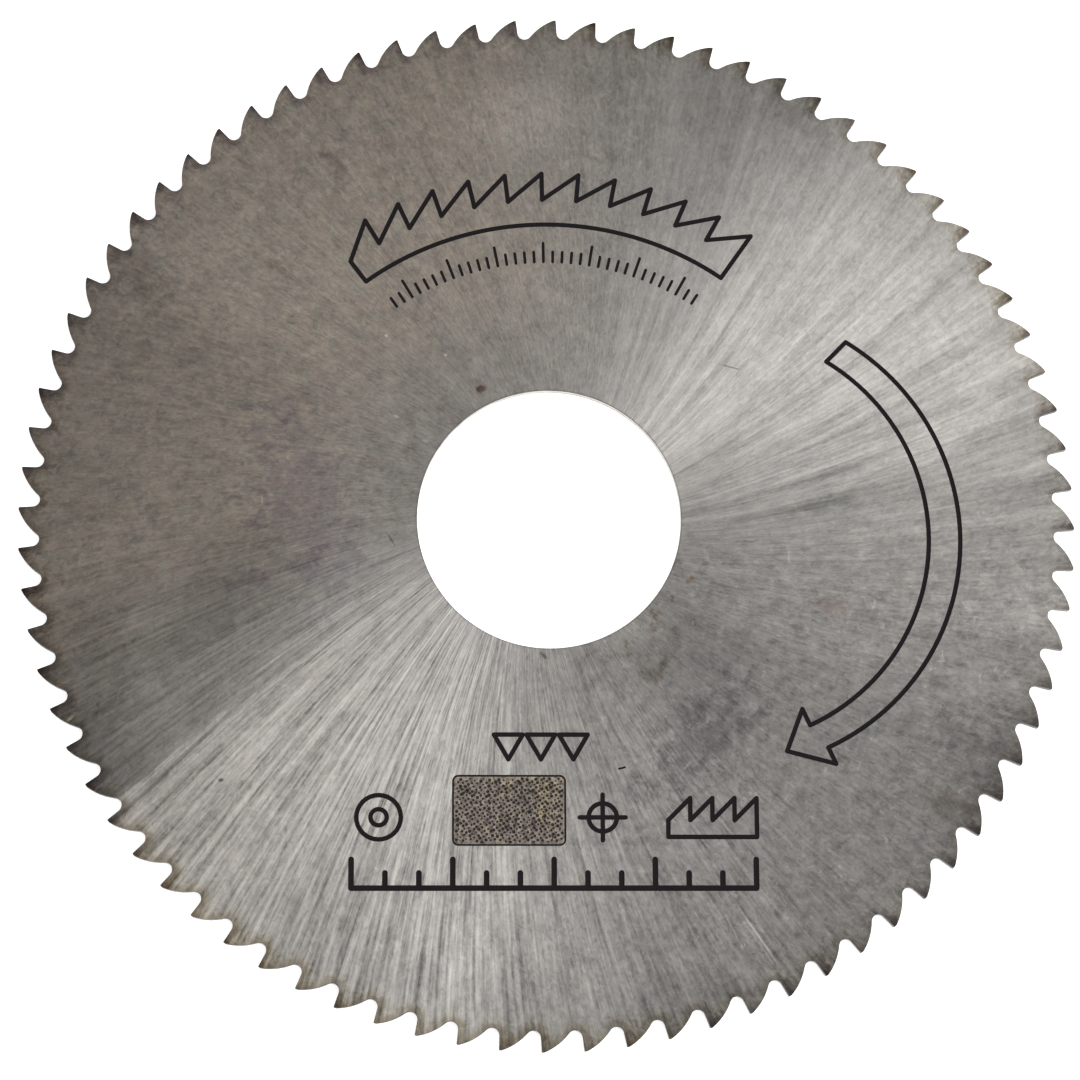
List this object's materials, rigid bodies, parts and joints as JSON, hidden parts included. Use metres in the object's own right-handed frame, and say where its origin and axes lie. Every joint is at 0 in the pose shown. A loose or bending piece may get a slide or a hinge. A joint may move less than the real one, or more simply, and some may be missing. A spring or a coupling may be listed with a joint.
{
  "type": "slitting saw",
  "caption": "Thin steel slitting saw: flat toothed disc with fine pitch teeth, a plain bore and an engraved arrow for its direction of rotation.",
  "frame": {"origin": "on the bore's axis, at the lower, unmarked face", "axes": "+Z along the bore's axis, out of the marked face. +X and +Y are the right and the top of the marked side. The saw turns clockwise seen from +Z"},
  "size_m": [0.032, 0.032, 0.0003],
  "materials": {
    "saw_steel": "ground high-speed steel with fine streaks from the bore to the teeth, and near-black engraved marks"
  },
  "bodies": {
    "root": {"saw_blade": "saw_steel"}
  },
  "joints": []
}
